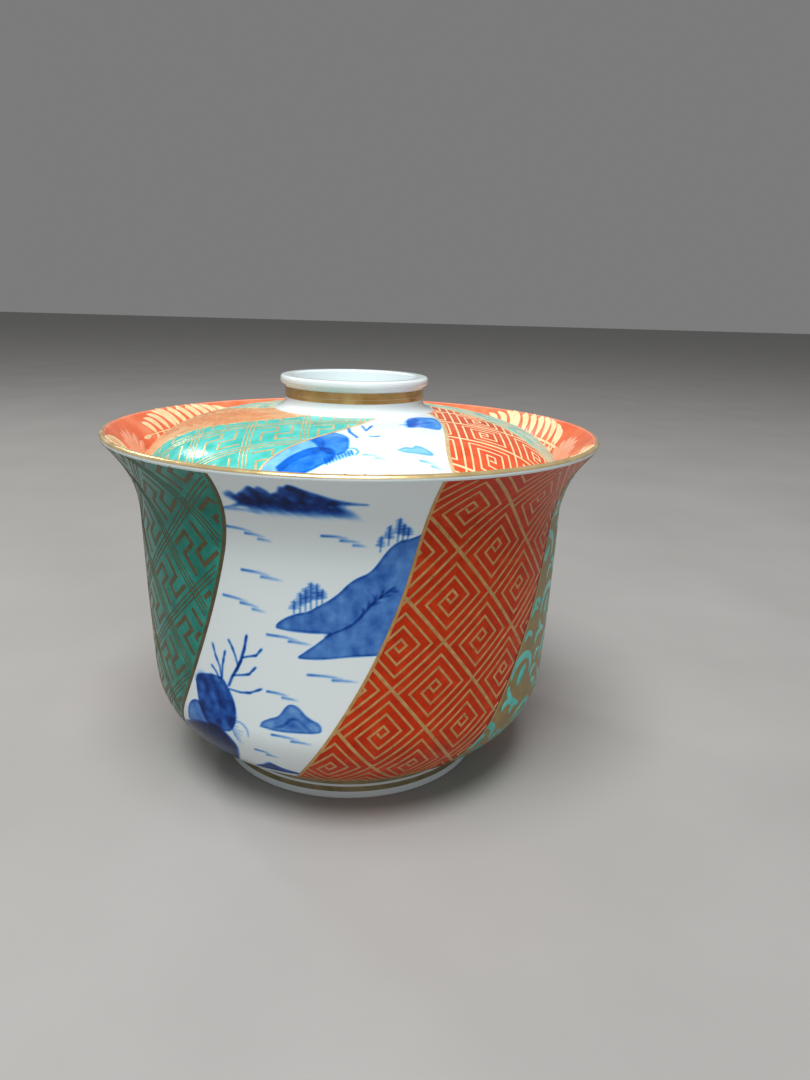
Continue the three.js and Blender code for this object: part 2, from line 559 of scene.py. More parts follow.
porcelain = mixed_material("porcelain_glaze", blend(GLAZE_COOL, GLAZE), 18, 0.09,
    rough_spread=0.03, bump=0.02, bump_size=7)
biscuit = mixed_material("bare_porcelain", [(0.35, (0.70, 0.66, 0.60)), (0.65, (0.80, 0.77, 0.72))],
    1.2, 0.7, bump=0.03, bump_size=0.5)
red_enamel = enamel("iron_red_enamel", [
    (0.25, (0.38, 0.018, 0.002)), (0.5, (0.49, 0.030, 0.003)), (0.75, (0.57, 0.048, 0.006))],
    3.0, specular=0.12)
# The lid's iron red, made lighter and more orange than the bowl's: painted light for the brightly lit lid.
lit_orange_enamel = enamel("lit_orange_red_enamel", blend((0.60, 0.070, 0.020), (0.72, 0.13, 0.050)), 4.0)
salmon_enamel = enamel("thin_red_enamel", [
    (0.3, (0.72, 0.13, 0.05)), (0.55, (0.78, 0.19, 0.085)), (0.8, (0.82, 0.32, 0.17))],
    7.0, rough_spread=0.05)
tan_enamel = enamel("tan_enamel", blend((0.62, 0.31, 0.14), (0.74, 0.44, 0.23)), 4.0, 0.28)
pale_red_enamel = mixed_material("pale_red_enamel", blend((0.78, 0.31, 0.18), (0.83, 0.40, 0.26)),
    5.0, 0.3, bump=0.012, bump_size=0.8, specular=0.25)
rust_tan = mixed_material("rust_tan_line", blend((0.60, 0.22, 0.09), (0.70, 0.32, 0.14)), 3.0, 0.28,
    specular=0.25)
teal_enamel = turquoise("turquoise_enamel", [
    (0.3, (0.04, 0.42, 0.36)), (0.5, (0.07, 0.52, 0.46)), (0.75, (0.14, 0.62, 0.57))], 0.18, 0.3)
# The turquoise enamel darkened for the bowl's fret panel: painted shade for the bowl's shaded left side.
shaded_teal_enamel = turquoise("shaded_turquoise_enamel", [
    (0.3, (0.010, 0.15, 0.115)), (0.5, (0.018, 0.22, 0.17)), (0.75, (0.035, 0.31, 0.25))], 0.2, 0.14)
olive_gold = gilding("matt_gold_ground", blend((0.24, 0.17, 0.06), (0.38, 0.28, 0.11)), 2.5, 0.42,
    0.6, bump=0.01, bump_size=0.6)
mint_enamel = mixed_material("mint_enamel", blend((0.24, 0.54, 0.46), (0.36, 0.64, 0.55)), 3.0, 0.2,
    bump=0.02, bump_size=1.2, specular=0.3)
pale_olive = gilding("pale_olive_ground", blend((0.50, 0.53, 0.36), (0.62, 0.64, 0.46)), 3.0, 0.35,
    0.05, bump=0.01, bump_size=0.6)
gold_paint = gilding("gold_line", [
    (0.3, (0.40, 0.215, 0.075)), (0.6, (0.54, 0.315, 0.115)), (0.85, (0.68, 0.45, 0.20))],
    1.6, 0.36, 0.4, 0.10)
pale_gold = gilding("pale_gold_line", [
    (0.3, (0.70, 0.50, 0.24)), (0.6, (0.82, 0.64, 0.36)), (0.85, (0.90, 0.76, 0.50))],
    1.8, 0.34, 0.35, 0.10)
# Cream gold: the lines' own gold made pale, as painted light on the lit lid and a painted highlight on the
# inner band's fronds.
lit_cream_gold = gilding("cream_gold_line", blend((0.82, 0.62, 0.33), (0.92, 0.78, 0.48)), 2.5, 0.4, 0.08)
soft_gold = gilding("soft_gold_line", blend((0.52, 0.42, 0.20), (0.66, 0.57, 0.33)), 1.8, 0.34, 0.3, 0.10)
# The brown-gold lines of the bowl, darkened further as painted shade on the bowl's shaded left side.
shaded_brown_gold = gilding("brown_gold_line", blend((0.078, 0.066, 0.03), (0.145, 0.120, 0.056)), 1.6, 0.42,
    0.3, specular=0.2)
burnished_gold = gilding("burnished_gold", blend((0.76, 0.56, 0.24), (0.91, 0.73, 0.40)), 5.0, 0.24,
    0.68, bump=0.006, bump_size=1.5)
deep_gold = gilding("deep_gold", blend((0.56, 0.32, 0.09), (0.86, 0.66, 0.30)), 4.0, 0.20, 0.85,
    bump=0.006, bump_size=1.5)
# The dull olive gold of the foot bands, darkened further as painted shade for the shadow at the foot.
shaded_dull_gold = gilding("shaded_dull_gold", blend((0.20, 0.17, 0.085), (0.33, 0.28, 0.15)), 3.0, 0.4, 0.5,
    bump_size=0.6)
maroon_line = mixed_material("maroon_line", blend((0.05, 0.008, 0.006), (0.12, 0.02, 0.012)), 1.5, 0.25)


def painted_porcelain(name, blues, specular):
    """The glaze over cobalt painting: the pigment attribute goes from bare white to the darkest blue."""
    material, nodes, links, shader = start_material(name, 0.1, specular)
    pigment = nodes.new("ShaderNodeAttribute")
    pigment.attribute_name = "pigment"
    place = nodes.new("ShaderNodeTexCoord")
    grain = add_noise(nodes, links, place, 1.6, 6.0)
    strength = nodes.new("ShaderNodeMath")
    strength.operation = "MULTIPLY"
    links.new(pigment.outputs["Fac"], strength.inputs[0])
    links.new(add_range(nodes, links, grain, 0.25, 0.75, 0.86, 1.12), strength.inputs[1])
    add_colours(nodes, links, strength.outputs["Value"], [(0.0, GLAZE)] + blues, shader)
    return material


deep_blue = painted_porcelain("underglaze_blue", [
    (0.12, (0.55, 0.69, 0.80)), (0.3, (0.25, 0.46, 0.75)), (0.5, (0.08, 0.23, 0.57)),
    (0.7, (0.014, 0.085, 0.37)), (0.85, (0.004, 0.030, 0.18)), (1.0, (0.002, 0.010, 0.055))], 0.12)
# A brighter, bluer copy of the underglaze blue for the lid: painted light for the brightly lit lid.
lit_azure_blue = painted_porcelain("lit_azure_underglaze_blue", [
    (0.12, (0.52, 0.72, 0.82)), (0.3, (0.22, 0.55, 0.84)), (0.5, (0.045, 0.27, 0.78)),
    (0.7, (0.004, 0.14, 0.66)), (1.0, (0.002, 0.03, 0.25))], 0.4)


# ---- porcelain bodies

bowl_body = lathe(
    "bowl_glaze",
    chain(foot_points, bowl_wall.points, lip.points, inner_wall, (0, FLOOR_HEIGHT)),
    [porcelain, biscuit], "bowl", bare_below=EDGE_ROUND + 0.01)
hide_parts("bowl")


def lid_underside():
    """The lid's inside, from the middle out to its edge."""
    inside = dome.lifted(np.linspace(dome_top, dome_edge, 60), -LID_THICKNESS)
    return chain((0, CROWN_HEIGHT), (10, CROWN_HEIGHT - 0.25), inside[inside[:, 1] > LID_EDGE_HEIGHT])


lid_body = lathe("lid_glaze", chain(lid_underside(), dome.points, knob.points), [porcelain], "lid")
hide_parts("lid")


# ---- gilding of rims, foot and knob

band("bowl_rim_gold", lip, GOLD_LOW, GOLD_TOP, burnished_gold, count=24)
# The foot's gold bands take the darkened dull gold: painted shade.
for name, heights in (("foot_gold_low", (2.0, 3.2)), ("foot_gold_high", (3.8, 5.8))):
    band(name, bowl_wall, *bowl_wall.where_height(heights), shaded_dull_gold)
band("lid_edge_gold", dome, 0.4, dome_edge + 0.5, burnished_gold)
band("knob_gold_low", knob, 0.3, 1.12, deep_gold)
band("knob_gold_high", knob, 1.2, 2.6, deep_gold)


# ---- panel grounds

BLUE_PAINTING, RED_KEY, TEAL_SCROLL = "painting", "red_key", "teal_scroll"
RED_LEAF, TEAL_FRET = "red_leaf", "teal_fret"
PANEL_KINDS = (BLUE_PAINTING, RED_KEY, TEAL_SCROLL, RED_LEAF,
               BLUE_PAINTING, TEAL_SCROLL, RED_LEAF, TEAL_FRET)
KEY_PANEL, FRET_PANEL = 1, 7
# The wall's fret ground is the darkened turquoise: painted shade.
WALL_GROUNDS = {RED_KEY: red_enamel, TEAL_SCROLL: olive_gold, RED_LEAF: salmon_enamel,
                TEAL_FRET: shaded_teal_enamel}
# The lid's key-fret ground is the lightened red: painted light.
LID_GROUNDS = {RED_KEY: lit_orange_enamel, TEAL_SCROLL: pale_olive, RED_LEAF: tan_enamel,
               TEAL_FRET: teal_enamel}

for ware, materials in ((wall, WALL_GROUNDS), (lid, LID_GROUNDS)):
    for k, kind in enumerate(PANEL_KINDS):
        if kind != BLUE_PAINTING:
            skin(f"{ware.body}_{kind}_ground_{k}", ware, k, materials[kind])


# ---- patterns

SIDE_MARGINS = (0.5, 0.5)
KEY_MARGINS = (0.5, 0.2)
END_MARGIN = 0.2
LATTICE_REACH = 9
THIN_LINE = 0.32
THIN_LINE_GAP = 0.065


def add_cell_line(lines, ware, k, cell, path, width, lift, margins):
    """A line given in a cell's own coordinates, clipped to panel k."""
    corner, a, b = cell
    for angle, s in ware.clip(k, [corner + u * a + v * b for u, v in path], margins):
        lines.add(angle, s, width, lift)


def lattice(node, a, b):
    """Cells of a lattice around a node of the drawing plane, each as its corner and its two sides."""
    node, a, b = np.array(node, float), np.array(a, float), np.array(b, float)
    for i in range(-LATTICE_REACH, LATTICE_REACH + 1):
        for j in range(-LATTICE_REACH, LATTICE_REACH + 1):
            yield node + i * a + j * b, a, b


SPIRAL_TURNS = 3
SPIRAL_STEP = 1 / 7


def square_spiral():
    """A square spiral that starts on a cell's side and winds into its middle, in cell coordinates."""
    low, high = SPIRAL_STEP, 1 - SPIRAL_STEP
    path = [(low, 0), (low, high), (high, high), (high, low)]
    for _ in range(SPIRAL_TURNS - 1):
        next_low, next_high = low + SPIRAL_STEP, high - SPIRAL_STEP
        path += [(next_low, low), (next_low, next_high), (next_high, next_high), (next_high, next_low)]
        low, high = next_low, next_high
    return path + [(low + 0.03, low)]


def key_fret(ware, node, a, b, material, weight=1.0):
    """Thick lines one way, thin lines the other and a square spiral in each cell. weight scales widths."""
    lines = Lines(ware.outline)
    strokes = (([(0, 0), (1, 0)], 0.78, UPPER_LIFT), ([(0, 0), (0, 1)], 0.55, MIDDLE_LIFT),
               (square_spiral(), 0.52, LINE_LIFT))
    for cell in lattice(node, a, b):
        for path, width, lift in strokes:
            add_cell_line(lines, ware, KEY_PANEL, cell, path, weight * width, lift, KEY_MARGINS)
    lines.piece(f"{ware.body}_key_fret", material)


HOOK = [(0.19, 0.13), (0.19, 0.5), (0.43, 0.5), (0.43, 0.24), (0.83, 0.24)]
HALF_TURNED_HOOK = [(1 - u, 1 - v) for u, v in HOOK]


def star_fret(ware, node, a, b, broad_width, material, edge_margin):
    """Three thin lines together both ways, and two broad hooks in each cell."""
    thin = Lines(ware.outline)
    broad = Lines(ware.outline)
    margins = (0.2, edge_margin)
    for cell in lattice(node, a, b):
        for offset in (-THIN_LINE_GAP, 0.0, THIN_LINE_GAP):
            one_way, other_way = [(0, offset), (1, offset)], [(offset, 0), (offset, 1)]
            for path, lift in ((one_way, UPPER_LIFT), (other_way, MIDDLE_LIFT)):
                add_cell_line(thin, ware, FRET_PANEL, cell, path, THIN_LINE, lift, margins)
        for path in (HOOK, HALF_TURNED_HOOK):
            add_cell_line(broad, ware, FRET_PANEL, cell, path, broad_width, LINE_LIFT, margins)
    thin.piece(f"{ware.body}_fret_thin", material)
    broad.piece(f"{ware.body}_fret_broad", material)


def curved(points, count):
    """A smooth line through a few points, with count steps from each to the next."""
    points = np.array(points, float)
    ends = np.concatenate([[2 * points[0] - points[1]], points, [2 * points[-1] - points[-2]]])
    t = np.linspace(0, 1, count, endpoint=False)[:, None]
    pieces = []
    for p0, p1, p2, p3 in zip(ends, ends[1:], ends[2:], ends[3:]):
        pieces.append(0.5 * (2 * p1 + (p2 - p0) * t + (2 * p0 - 5 * p1 + 4 * p2 - p3) * t ** 2
                             + (3 * p1 - p0 - 3 * p2 + p3) * t ** 3))
    return np.concatenate(pieces + [points[-1:]])


def leaf_widths(count, widest, blunt=0.5):
    """The widths of a stroke that swells in its middle and is nearly pointed at both ends."""
    t = np.linspace(0, 1, count)
    return widest * np.clip(np.sin(math.pi * t), 0, None) ** blunt + 0.08


def turned(points, at, angle, size):
    """Points of a small motif, turned by an angle and put in place."""
    c, s = math.cos(math.radians(angle)), math.sin(math.radians(angle))
    return np.asarray(at) + size * (np.asarray(points, float) @ np.array([[c, s], [-s, c]]))


def add_drawn(lines, ware, k, points, widths):
    """A drawn line with varying width, cut where it leaves panel k."""
    angle, s = ware.to_surface(np.asarray(points, float), k)
    widths = np.broadcast_to(widths, len(points))
    for start, end in stretches(ware.inside(k, angle, s, *SIDE_MARGINS, END_MARGIN)):
        lines.add(angle[start:end], s[start:end], widths[start:end])


WHORL_SIZE = 4.3
WHORL_LEAF = [(-0.25, -0.7), (0.05, 0.0), (0.25, 0.6)]
HOOK_PLACES = ((0.1, 1.75), (1.55, 1.35), (1.75, -0.55), (-1.65, 0.75))


def teal_scroll(ware, k, first, up, across, material):
    """Turquoise whorls in staggered rows over a panel: a leaf under a hood, with small hooks round them."""
    lines = Lines(ware.outline)
    up, across = np.array(up, float), np.array(across, float)

    def draw(points, at, turn, size, widest):
        path = turned(curved(points, 3), at, turn, size)
        add_drawn(lines, ware, k, path, leaf_widths(len(path), widest))

    for i in range(-4, 7):
        for j in range(-4, 5):
            at = np.array(first) + i * up + (j + 0.5 * (i % 2)) * across
            lean = 18 * math.sin(2.3 * i + 1.1 * j)
            draw(WHORL_LEAF, at, lean - 10, 3.6, 2.4)
            draw(arc((0, 0), 1.0, -15, 185, 7), at, lean, WHORL_SIZE, 1.9)
            draw(arc((0.15, -0.15), 1.25, 185, 262, 4), at, lean, WHORL_SIZE, 1.5)
            for n, place in enumerate(HOOK_PLACES):
                hook_at = turned([place], at, lean, WHORL_SIZE)[0]
                draw(arc((0, 0), 1.0, 0, 180, 5), hook_at, lean + 35 * math.sin(n + i), 1.6, 1.3)
    lines.piece(f"{ware.body}_scroll_{k}", material)


STRAIGHT_LEAFLET = [(0, 0), (0.35, 0.30), (0.75, 0.62), (1.0, 1.0)]
CURLED_LEAFLET = [(0, 0), (0.12, 0.42), (0.42, 0.86), (0.95, 1.12)]
WIDEST_TIP = 1.1


def frond(place_line, start, heading, length, bend, leaflets, leaf_length, leaf_width, leaflet):
    """A feathery leaf: a bending stem with slim leaflets on both sides. place_line draws each line."""
    t = np.linspace(0, 1, 24)
    turn = np.radians(heading + bend * t)
    steps = length / (len(t) - 1) * np.stack([np.cos(turn), np.sin(turn)], 1)[:-1]
    stem = np.array(start) + np.concatenate([[(0, 0)], np.cumsum(steps, 0)])
    place_line(stem, np.linspace(0.7, 0.25, len(t)))
    for i in range(leaflets):
        u = (i + 0.6) / (leaflets + 0.4)
        row = int(u * (len(t) - 1))
        reach = leaf_length * math.sin(math.pi * (0.18 + 0.72 * u)) ** 0.8
        for side in (-1, 1):
            path = curved([(u, side * v) for u, v in leaflet], 3)
            line = turned(path, stem[row], math.degrees(turn[row]), reach * 0.72)
            place_line(line, leaf_widths(len(line), leaf_width, 0.7))
    tip = curved([(0, 0), (0.5, 0.03), (1, 0)], 4)
    place_line(turned(tip, stem[-1], math.degrees(turn[-1]), leaf_length * 0.5),
               leaf_widths(len(tip), min(leaf_width, WIDEST_TIP), 0.7))


def leaf_panel(ware, k, leaves, material):
    lines = Lines(ware.outline)

    def place_line(points, widths):
        add_drawn(lines, ware, k, points, widths)

    for start, heading, length, bend in leaves:
        frond(place_line, start, heading, length, bend, 9, 8.0, 1.1, STRAIGHT_LEAFLET)
    lines.piece(f"{ware.body}_leaves_{k}", material)


key_fret(wall, (-7.9534, 59.7), (8.8, -9.55), (9.1, 9.1), gold_paint)
# The lid's key fret takes the pale cream gold: painted light.
key_fret(lid, (-11.3, -41.7), (8.1, -8.1), (7.9, 7.9), lit_cream_gold, 0.8)
# The bowl's star fret takes the darkened brown gold: painted shade.
star_fret(wall, (5.8, 76.3), (8.8, -9.4), (9.1, 9.1), 1.05, shaded_brown_gold, 1.5)
star_fret(lid, (-7.5, -37.9), (8.1, -8.1), (7.9, 7.9), 0.6, soft_gold, 0.3)

for k in (2, 5):
    teal_scroll(wall, k, (-28, 36.5), (2.0, 13.0), (16.0, 0.0), teal_enamel)
    teal_scroll(lid, k, (-8, -40), (5.6, 10.0), (13.0, -7.4), mint_enamel)

# Each leaf: its foot, heading, length and bend.
WALL_LEAVES = [((-34, 12), 62, 20, 30), ((-27, 35), 70, 20, 25), ((-20, 58), 75, 20, 20),
    ((-14, 20), 62, 20, 30), ((-5, 43), 70, 20, 25), ((3, 66), 75, 19, 20)]
DOME_LEAVES = [((-14, -44), 40, 22, 40), ((4, -44), 70, 20, 30), ((0, -34), 20, 20, 50),
    ((12, -30), 40, 18, 40)]
for k in (3, 6):
    leaf_panel(wall, k, WALL_LEAVES, pale_gold)
    leaf_panel(lid, k, DOME_LEAVES, rust_tan)


# ---- the leafy band inside the rim

BAND_DEPTH = 14.0
BAND_RADIUS = 51.0
BAND_LEAVES = 6
BAND_START = -22
BAND_LEAF_FOOT = 7.4
FAN_ANGLE = 53
FAN_FOOT = 11.5
FAN_PETALS = 9
PETAL_SPREAD = (7.0, 9.0)


def inner_band():
    band("inner_band_ground", mouth, 0.0, BAND_DEPTH, salmon_enamel, count=24)
    leaves = Lines(mouth)
    fans = Lines(mouth)

    def place_line(points, widths, into=leaves):
        """Draws on the inside of the rim: x round it, y down into the bowl."""
        points = np.asarray(points, float)
        kept = (points[:, 1] > 0.25) & (points[:, 1] < BAND_DEPTH - 0.3)
        if kept.sum() > 2 and np.all(np.diff(np.flatnonzero(kept)) == 1):
            into.add(np.degrees(points[kept, 0] / BAND_RADIUS), points[kept, 1], widths[kept])

    for i in range(BAND_LEAVES):
        base = math.radians(BAND_START + 360 * i / BAND_LEAVES) * BAND_RADIUS
        frond(place_line, (base, BAND_LEAF_FOOT), -4, 35, 6, 12, 8.8, 1.9, CURLED_LEAFLET)
        x, y = base + math.radians(FAN_ANGLE) * BAND_RADIUS, FAN_FOOT
        for j in range(FAN_PETALS):
            turn = math.radians(190 + 20 * j)
            tip = (x + PETAL_SPREAD[0] * math.cos(turn), y + PETAL_SPREAD[1] * math.sin(turn))
            petal = curved([(x, y), ((x + tip[0]) / 2 + 0.6, (y + tip[1]) / 2 + 0.5), tip], 5)
            place_line(petal, leaf_widths(len(petal), 3.0), fans)
    # The fronds' own cream, made pale as a painted highlight on the inner band.
    leaves.piece("inner_band_leaves", lit_cream_gold)
    fans.piece("inner_band_fans", pale_red_enamel)


inner_band()


# ---- border lines between panels

def border(lines, ware, k, offset, width, lift=LINE_LIFT + 0.03):
    """A line beside the left edge of panel k, offset to the right of it in mm."""
    s = np.linspace(ware.s_low, ware.s_high, 90)
    r = ware.outline.at(s)[0]
    lines.add(ware.edge(k)(s) + np.degrees(offset / r), s, width, lift)


def wall_borders():
    gold, brown, dark = Lines(bowl_wall), Lines(bowl_wall), Lines(bowl_wall)
    for k in range(PANELS):
        if PANEL_KINDS[k - 1] == BLUE_PAINTING:
            border(gold, wall, k, 0.3, 0.7)
        elif PANEL_KINDS[k] == BLUE_PAINTING:
            border(brown, wall, k, -0.45, 0.9)
        else:
            border(dark, wall, k, 0.0, 0.4, UPPER_LIFT)
            border(gold, wall, k, 0.5, 0.5)
    gold.piece("bowl_border_gold", gold_paint)
    brown.piece("bowl_border_brown", shaded_brown_gold)
    dark.piece("bowl_border_dark", maroon_line)


def lid_borders():
    lines = Lines(dome)
    for k in range(PANELS):
        offset, width = (0.4, 0.9) if PANEL_KINDS[k - 1] == BLUE_PAINTING else (0.0, 0.5)
        border(lines, lid, k, offset, width)
    lines.piece("lid_borders", pale_gold)


wall_borders()
lid_borders()


# ---- blue painting under the glaze

FAR = 1e9
TINY = 1e-9


def to_segment(points, a, b):
    """Where on the line from a to b each point is nearest to, as a share of it, and how far off it is."""
    ab = b - a
    t = np.clip(((points - a) @ ab) / max(ab @ ab, TINY), 0, 1)
    return t, np.hypot(*(points - a - t[:, None] * ab).T)


class Painting:
    """A sheet of brushwork over the points of a panel, which gathers pigment from 0 to 1."""

    POOL_WIDTH = 0.4  # mm of a wash's edge where the pigment pools

    def __init__(self, points):
        self.points = points.reshape(-1, 2)
        self.pigment = np.zeros(len(self.points))
        self.waver = self.unevenness()

    def unevenness(self):
        """Soft blotches, with faint upright bands where the brush was laid side by side."""
        across, up = self.points.T
        total = 0.45 * np.sin(1.7 * across + 0.25 * up + 1.6 * np.sin(0.4 * up))
        for i in range(10):
            turn, wave = 2.4 * i, 0.5 * 1.2 ** i
            total = total + 0.35 * np.sin(wave * (across * math.cos(turn) + up * math.sin(turn)) + 1.7 * i)
        return total / 1.6

    def near(self, shape, margin):
        low, high = np.min(shape, axis=0) - margin, np.max(shape, axis=0) + margin
        return np.flatnonzero(np.all((self.points > low) & (self.points < high), axis=1))

    def lay(self, rows, amount):
        self.pigment[rows] = 1 - (1 - self.pigment[rows]) * (1 - np.clip(amount, 0, 1))

    def stroke(self, points, width, strength, taper, soft, smooth=True, fade=0.0):
        """A brush stroke. taper is its width at each end, as a share of the width; fade is its thinning."""
        path = curved(points, 6) if smooth and len(points) > 2 else np.array(points, float)
        rows = self.near(path, width + soft)
        if len(rows) == 0:
            return
        best = np.full(len(rows), FAR)
        along = np.zeros(len(rows))
        for i, (a, b) in enumerate(zip(path, path[1:])):
            t, gap = to_segment(self.points[rows], a, b)
            closer = gap < best
            best[closer] = gap[closer]
            along[closer] = (i + t[closer]) / (len(path) - 1)
        swell = np.sin(math.pi * along) ** 0.7
        ends = taper[0] * (1 - along) + taper[1] * along
        half = width / 2 * (ends + (1 - ends) * swell)
        self.lay(rows, strength * (1 - fade * along) * np.clip((half + soft - best) / (2 * soft), 0, 1))

    def line(self, points, width, strength, taper, soft, fade=0.0):
        """A stroke in straight runs."""
        self.stroke(points, width, strength, taper, soft, smooth=False, fade=fade)

    def wash(self, outline, strength, edge=0.18, mottle=0.12, soft=0.15):
        """A filled wash that pools darker along its outline."""
        path = curved(list(outline) + [outline[0]], 5)
        rows = self.near(path, 1)
        if len(rows) == 0:
            return
        here = self.points[rows]
        crossings = np.zeros(len(rows), int)
        best = np.full(len(rows), FAR)
        for a, b in zip(path, path[1:]):
            best = np.minimum(best, to_segment(here, a, b)[1])
            spans = (a[1] > here[:, 1]) != (b[1] > here[:, 1])
            run, rise = b - a
            across = a[0] + (here[:, 1] - a[1]) * run / (rise if abs(rise) > TINY else TINY)
            crossings += spans & (here[:, 0] < across)
        depth = np.where(crossings % 2 == 1, best, -best)
        cover = np.clip((depth + soft) / (2 * soft), 0, 1)
        body = strength * (1 + mottle * self.waver[rows])
        self.lay(rows, cover * (body + edge * np.exp(-(depth / self.POOL_WIDTH) ** 2)))


def ripples(sheet, x, y, length, count, strength=0.72):
    """Short strokes of still water, each lower and further right than the one above."""
    for i in range(count):
        start = x + length * (0.0, 0.72, 1.2)[i]
        run = length * (1.0, 0.72, 0.5)[i]
        level = y - 0.9 * i
        path = [(start, level), (start + run * 0.5, level - 0.08), (start + run, level - 0.15 - 0.05 * run)]
        sheet.stroke(path, 0.5, strength * (1 - 0.12 * i), (1.0, 0.3), 0.22, fade=0.65)


def pine(sheet, x, y, height):
    sheet.line([(x, y), (x + 0.1, y + height)], 0.3, 0.6, (1, 0.5), 0.16)
    tiers = max(3, round(height / 0.62))
    for i in range(tiers):
        level = y + height * (0.36 + 0.64 * i / tiers)
        half = 0.85 - 0.5 * i / tiers + rng.uniform(-0.15, 0.15)
        lean = rng.uniform(-0.12, 0.12)
        sheet.line([(x - half, level + lean), (x + half, level - lean)], 0.36, 0.5, (0.5, 0.5), 0.2)


def bare_branches(sheet, branches, width=0.42, strength=0.75):
    for i, branch in enumerate(branches):
        sheet.line(branch, width * (1.0 if i else 1.5), strength, (0.9, 0.7), 0.18)
        for a, b in zip(branch[1:], branch[2:]):
            a, b = np.array(a), np.array(b)
            sheet.line([a + 0.5 * (b - a), b + 0.1 * (b - a)], 0.62, 0.4, (0.4, 0.6), 0.2)


RIDGE = [(-22.8, 77.5), (-21, 78.2), (-19.3, 79.5), (-18.6, 81.5), (-17.6, 82.6), (-16.3, 83.9),
    (-15.5, 83.4), (-14.6, 84), (-13.6, 83.2), (-12.9, 82.2), (-11.9, 82.8), (-11.2, 84.4),
    (-10.4, 84.4), (-9.8, 85.1), (-8.6, 84.6), (-7.6, 83.9), (-5.6, 82.9), (-3.6, 81.9), (-1, 81),
    (2.4, 80.3)]
RIDGE_FOOT = [(-2, 80.1), (-5, 79.9), (-9, 79.8), (-14, 79.6), (-19, 78.4)]
RIDGE_SHADES = [(-16.2, 83, 6.5, 4.8), (-12.2, 82, 5, 3.4), (-9.8, 84.2, 8.5, 4.4),
    (-18.4, 81, 4.5, 3)]
HILLS = [(-14.4, 53.9), (-14.2, 54.8), (-12.5, 56.2), (-10.5, 57.2), (-8.2, 57.9), (-6.4, 59),
    (-4.2, 60.4), (-2.5, 61.8), (-0.8, 63.6), (0.8, 64.8), (2.8, 65.8), (4.2, 67.2), (5.4, 69),
    (6.6, 70.6), (8, 71.8), (9.8, 72.3), (17, 72.3), (17, 49.4), (5, 49), (0, 48.8),
    (-6, 48.1), (-10.1, 48.1), (-9, 49.4), (-7, 51), (-4.8, 53), (-4.6, 53.5), (-8, 53.5),
    (-12, 53.6)]
SPUR = [(-5, 53), (-2, 54.4), (0, 55.5), (1.5, 57), (3.5, 59.5), (5.5, 61.3), (7.8, 62.8)]
TWIGS = [(1.8, 57.3, 0.4, 1.5), (2.8, 58.5, 0.3, 1.6), (4, 59.9, 0.5, 1.6), (5.2, 61, 0.5, 1.4),
    (6.4, 61.9, 1.2, 1.1), (3.6, 59.5, 1.5, 0.5), (5.2, 61, 1.7, 0.3), (6.8, 62.2, 1.6, -0.2),
    (2.4, 58, -0.8, 1), (4.4, 60.2, -0.7, 1.3)]
PINES = [(-10.8, 57.4, 2.6), (-9.6, 57.7, 4), (-8.6, 58.1, 4.6), (-7.6, 58.5, 5.3), (-6.5, 59, 4.6),
    (-5.5, 59.7, 2.9), (4.9, 70, 3.2), (6.3, 71.3, 4.2), (7.9, 72, 5.1), (8.8, 72.2, 3.6),
    (9.7, 72.4, 2.6)]
ISLAND = [(-18.8, 31.7), (-18.2, 32.9), (-16.6, 33.9), (-14.7, 34.8), (-13.5, 36.4), (-12.5, 37.6),
    (-11.3, 37.8), (-10.2, 37.2), (-9, 35.8), (-7.7, 34.8), (-6.4, 34.1), (-5.8, 33), (-6.4, 31.9),
    (-10.4, 31.5), (-15.2, 31.3)]
ISLAND_RIDGE = [(-15.6, 32), (-13.4, 33), (-12.2, 34.3), (-10.9, 34.6), (-9.6, 33.6), (-8.2, 32.2)]
ROCK = [(-35.2, 38), (-34.2, 39.5), (-32, 40.3), (-29.6, 40.8), (-27.2, 40.6), (-25.8, 38.8),
    (-24.6, 36), (-24.3, 33), (-25, 30.4), (-26.6, 28.4), (-30, 28), (-33.4, 29),
    (-34.9, 33)]
ROCK_SHADES = [
    ([(-34.4, 38.6), (-32.6, 39.2), (-31.4, 37.4)], 2.2),
    ([(-30, 39.8), (-28.6, 37), (-28.4, 34.4)], 2.4),
    ([(-34.2, 32.4), (-30, 31.4), (-25.6, 30.8)], 2.2),
    ([(-26.2, 38), (-25, 34.4), (-25.4, 31)], 0.7),
]
ROCK_SIDE = [(-40.4, 26.6), (-38.6, 31), (-35.8, 33), (-33.4, 31.8), (-32.4, 28.8), (-33.2, 26.2),
    (-37.2, 25)]
ROCK_FOOT = [(-44, 24), (-39, 26.6), (-34, 28.2), (-29.8, 28.8), (-27.2, 27.2), (-25.6, 24.6),
    (-26.4, 21.5), (-28.2, 18.4), (-31, 15), (-36, 12), (-46, 12)]
NEAR_SHORE = [(-23.2, 17.8), (-20.6, 19.6), (-18.6, 21.4), (-17.2, 20.8), (-15.4, 19.6), (-12.5, 18.2),
    (-11.6, 17), (-23, 16.8)]
BRANCHES = [
    [(-25.6, 39.4), (-24.6, 41.6), (-23.2, 43.8), (-22.3, 45.6), (-21.3, 48.5), (-20.7, 51.2)],
    [(-21.9, 46.4), (-20.2, 47), (-18.8, 47.4), (-17.6, 48.9)],
    [(-23, 44.2), (-23.6, 46.6), (-24.2, 48.2), (-24.9, 49.5)],
    [(-24.3, 42), (-22.2, 42.5), (-20.6, 43), (-19.1, 44.7)],
    [(-25.5, 38.6), (-22.8, 38.5), (-20.6, 38.9), (-18.1, 40.2)],
    [(-27.4, 40.6), (-27.6, 43), (-28.5, 45.2), (-29.1, 47.7)],
    [(-27.2, 40.8), (-26.9, 43.4), (-26.5, 45), (-26, 46.8)],
    [(-28, 40.4), (-28.8, 41.8), (-29.8, 42.8)],
]
